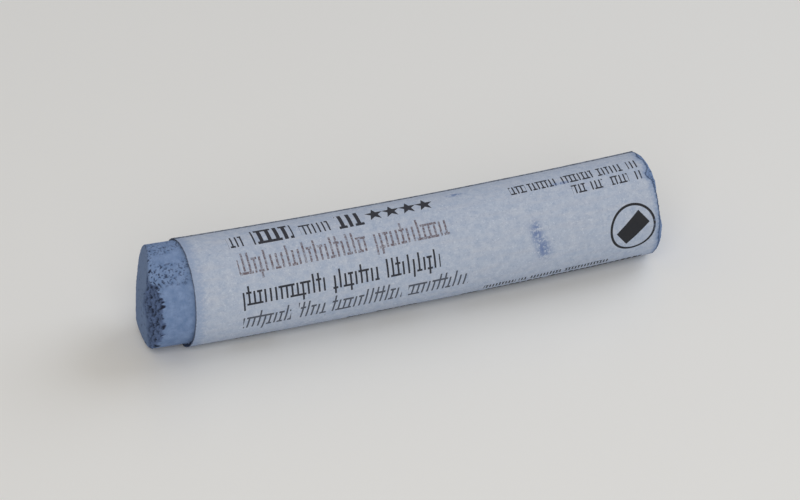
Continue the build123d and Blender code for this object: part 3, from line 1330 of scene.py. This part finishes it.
    def dust_coats(self, tree: Tree, sheet: Socket, patchy: Node) -> list[tuple[Node, str]]:
        """Add the dust and grime caught along the sheet's ends and its overlap, and the painted shade along
        the mouth's edge and near the lower side.

        Args:
            tree: The material's tree.
            sheet: Place on the sheet.
            patchy: Noise that breaks the dust up.

        Returns:
            A mask and a colour for each band.
        """
        from_mouth = add(tree, "ShaderNodeAttribute", attribute_name=FROM_MOUTH).outputs["Fac"]
        from_end = add(tree, "ShaderNodeAttribute", attribute_name=FROM_END).outputs["Fac"]
        round_at = add(tree, SEPARATE, {0: sheet}).outputs[1]
        from_line: dict[float, Node] = {}
        for line_at in (self.lap_at, self.outer_edge_at, self.lower_shade_at):
            off = add(tree, MATH, {0: round_at, 1: line_at}, operation="SUBTRACT")
            from_line[line_at] = add(tree, MATH, {0: off}, operation="ABSOLUTE")

        coats: list[tuple[Node, str]] = []
        # Each band has the distance from its line, its width, its colour, how unbroken it is and its cover.
        for distance, width, hue, even, most in (
            (from_mouth, 2.2, self.stain, 0.62, 0.55),
            (from_end, 1.1, self.stain, 0.62, 0.75),
            # a thin dark line along the mouth's edge: painted shade where the paper stands off the bar, with
            # some grime
            (from_mouth, 0.16, self.grime_and_shade, 0.62, 0.75),
            (from_end, 0.35, self.dust, 0.62, 0.95),
            (from_end, 0.14, self.grime_and_shade, 0.62, 0.70),
            (from_line[self.lap_at], 0.55, self.grime_and_shade, 0.50, 0.90),
            (from_line[self.outer_edge_at], 0.30, self.grime_and_shade, 0.34, 0.80),
            # a patchy dark band near the lower side: painted shade where the sleeve turns down towards the
            # floor
            (from_line[self.lower_shade_at], 0.95, self.grime_and_shade, 0.36, 0.90),
        ):
            reach = add(tree, RAMP, {0: distance, 1: 0.0, 2: width, 3: even, 4: -0.10})
            patch = add(tree, MATH, {0: reach, 1: patchy}, operation="ADD")
            coats.append((add(tree, RAMP, {0: patch, 1: 0.60, 2: 0.95, 3: 0.0, 4: most}), hue))
        return coats

    def make(self) -> bpy.types.Material:
        """Build the material.

        Returns:
            The new material.
        """
        material, tree, shader = blank_material(self.name)
        sheet = add(tree, "ShaderNodeUVMap", uv_map=SHEET_UV).outputs[0]
        clouds = add(
            tree, NOISE, {"Vector": sheet, "Scale": 1 / self.cloud, "Detail": 5.0, "Roughness": 0.7}
        )
        tint = add(tree, RAMP, {0: clouds, 1: 0.38, 2: 0.62})
        streaks_at = add(tree, VECTOR, {0: sheet, 1: (0.12, 1.0, 1.0)}, operation="MULTIPLY")
        streaks = add(tree, NOISE, {"Vector": streaks_at, "Scale": 1 / self.streak, "Detail": 3.0})
        streaked = add(tree, RAMP, {0: streaks, 1: 0.45, 2: 0.72, 3: 0.0, 4: 0.35})
        fibre_feeds = {"Vector": sheet, "Scale": 1 / self.fibre, "Detail": 3.0, "Distortion": 1.6}
        fibres = add(tree, NOISE, fibre_feeds)
        flecks = add(tree, RAMP, {0: fibres, 1: 0.58, 2: 0.74, 3: 0.0, 4: 0.55})
        shades = add(tree, RAMP, {0: fibres, 1: 0.44, 2: 0.28, 3: 0.0, 4: 0.55})
        pulp = add(tree, NOISE, {"Vector": sheet, "Scale": 1 / self.pulp, "Detail": 2.0, "Distortion": 0.8})
        specks = add(tree, RAMP, {0: pulp, 1: 0.63, 2: 0.72, 3: 0.0, 4: 0.7})
        patchy = add(tree, NOISE, {"Vector": sheet, "Scale": 2.3, "Detail": 5.0, "Roughness": 0.65})
        coats = [
            (tint, self.tinted),
            (streaked, self.warm),
            (flecks, self.fleck),
            (shades, self.shade),
            (specks, self.fleck),
            *self.print_coats(tree, sheet),
            *self.smudge_coats(tree, sheet, patchy),
            *self.dust_coats(tree, sheet, patchy),
        ]
        lay_coats(tree, self.pale, coats)

        bump = add(tree, "ShaderNodeBump", {"Height": fibres, "Strength": 0.35, "Distance": 0.02 * MM})
        tree.links.new(bump.outputs[0], shader.inputs["Normal"])
        shader.inputs["Roughness"].default_value = self.roughness
        shader.inputs["Specular IOR Level"].default_value = self.sheen
        return material


@dataclass(frozen=True)
class PaleBoard:
    """A smooth white board under the stick, with a faint blurred sheen."""

    name: str = "pale_board"
    colour: str = "ebeef0"
    roughness: float = 0.33

    def make(self) -> bpy.types.Material:
        """Build the material.

        Returns:
            The new material.
        """
        material, _, shader = blank_material(self.name)
        shader.inputs["Base Color"].default_value = linear(self.colour)
        shader.inputs["Roughness"].default_value = self.roughness
        return material


@dataclass(frozen=True)
class Lamp:
    """A square softbox aimed at the stick: its place and size in metres, its power in watts."""

    name: str
    at: tuple[float, float, float]
    size: float
    energy: float
    colour: str


@dataclass
class Studio:
    """The floor, two soft lamps, the room's even light and the long-lens camera."""

    frame: StickFrame
    floor_size: float = 4.0
    camera_turn: float = 18.95
    camera_height: float = 33.68
    camera_distance: float = 468.43 * MM
    lens: float = 180.0
    aim: tuple[float, float, float] = (0.27 * MM, 0.47 * MM, -0.18 * MM)
    lamps: tuple[Lamp, ...] = (
        Lamp("side_softbox", (0.64, 0.20, 0.45), 0.70, 2.85, "f1f6ff"),
        Lamp("front_softbox", (-0.14, -0.46, 0.36), 0.45, 1.68, "fff8ee"),
    )
    fill: str = "fff8ef"
    fill_strength: float = 0.395

    def floor(self) -> None:
        """Lay the floor that the stick rests on."""
        half = self.floor_size / 2
        mesh = bpy.data.meshes.new("floor")
        mesh.from_pydata(
            [(-half, -half, 0), (half, -half, 0), (half, half, 0), (-half, half, 0)], [], [(0, 1, 2, 3)]
        )
        new_piece("floor", mesh, PaleBoard().make())

    def lights(self) -> None:
        """Hang the soft lamps and light the room evenly."""
        for box in self.lamps:
            lamp = bpy.data.lights.new(box.name, "AREA")
            lamp.energy = box.energy
            lamp.color = linear(box.colour)[:3]
            lamp.size = box.size
            holder = bpy.data.objects.new(box.name, lamp)
            holder.location = box.at
            holder.rotation_euler = Vector(box.at).to_track_quat("Z", "Y").to_euler()
            bpy.context.scene.collection.objects.link(holder)
        world = bpy.data.worlds.new("room")
        world.use_nodes = True
        sky = world.node_tree.nodes["Background"]
        sky.inputs["Color"].default_value = linear(self.fill)
        sky.inputs["Strength"].default_value = self.fill_strength
        bpy.context.scene.world = world

    def camera(self) -> None:
        """Stand the camera at the front left, looking down along the stick."""
        turn, height = math.radians(self.camera_turn), math.radians(self.camera_height)
        ahead = Vector(
            (math.sin(turn) * math.cos(height), math.cos(turn) * math.cos(height), -math.sin(height))
        )
        right = Vector((math.cos(turn), -math.sin(turn), 0))
        up = right.cross(ahead)
        target = Vector((self.aim[0], self.aim[1], self.frame.axis_z)) + up * self.aim[2]
        data = bpy.data.cameras.new("camera")
        data.lens = self.lens
        data.clip_start, data.clip_end = 0.01, 10.0
        camera = bpy.data.objects.new("camera", data)
        place = Matrix((right, up, -ahead)).transposed().to_4x4()
        place.translation = target - ahead * self.camera_distance
        camera.matrix_world = place
        bpy.context.scene.collection.objects.link(camera)
        bpy.context.scene.camera = camera

    def build(self) -> None:
        """Set up the floor, lights and camera."""
        self.floor()
        self.lights()
        self.camera()
        bpy.context.scene.view_settings.view_transform = "Standard"


def main() -> None:
    """Build the stick in order."""
    logging.basicConfig(level=logging.INFO, format="%(name)s: %(message)s")
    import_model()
    frame = StickFrame.read()
    pigment = PressedPigment().make()
    bar = PigmentBar(frame).build(pigment)
    PaperSleeve(frame).build(LabelPaper().make())
    Crumbs(frame).build(bar, pigment)
    Studio(frame).build()


if __name__ == "__main__":
    main()
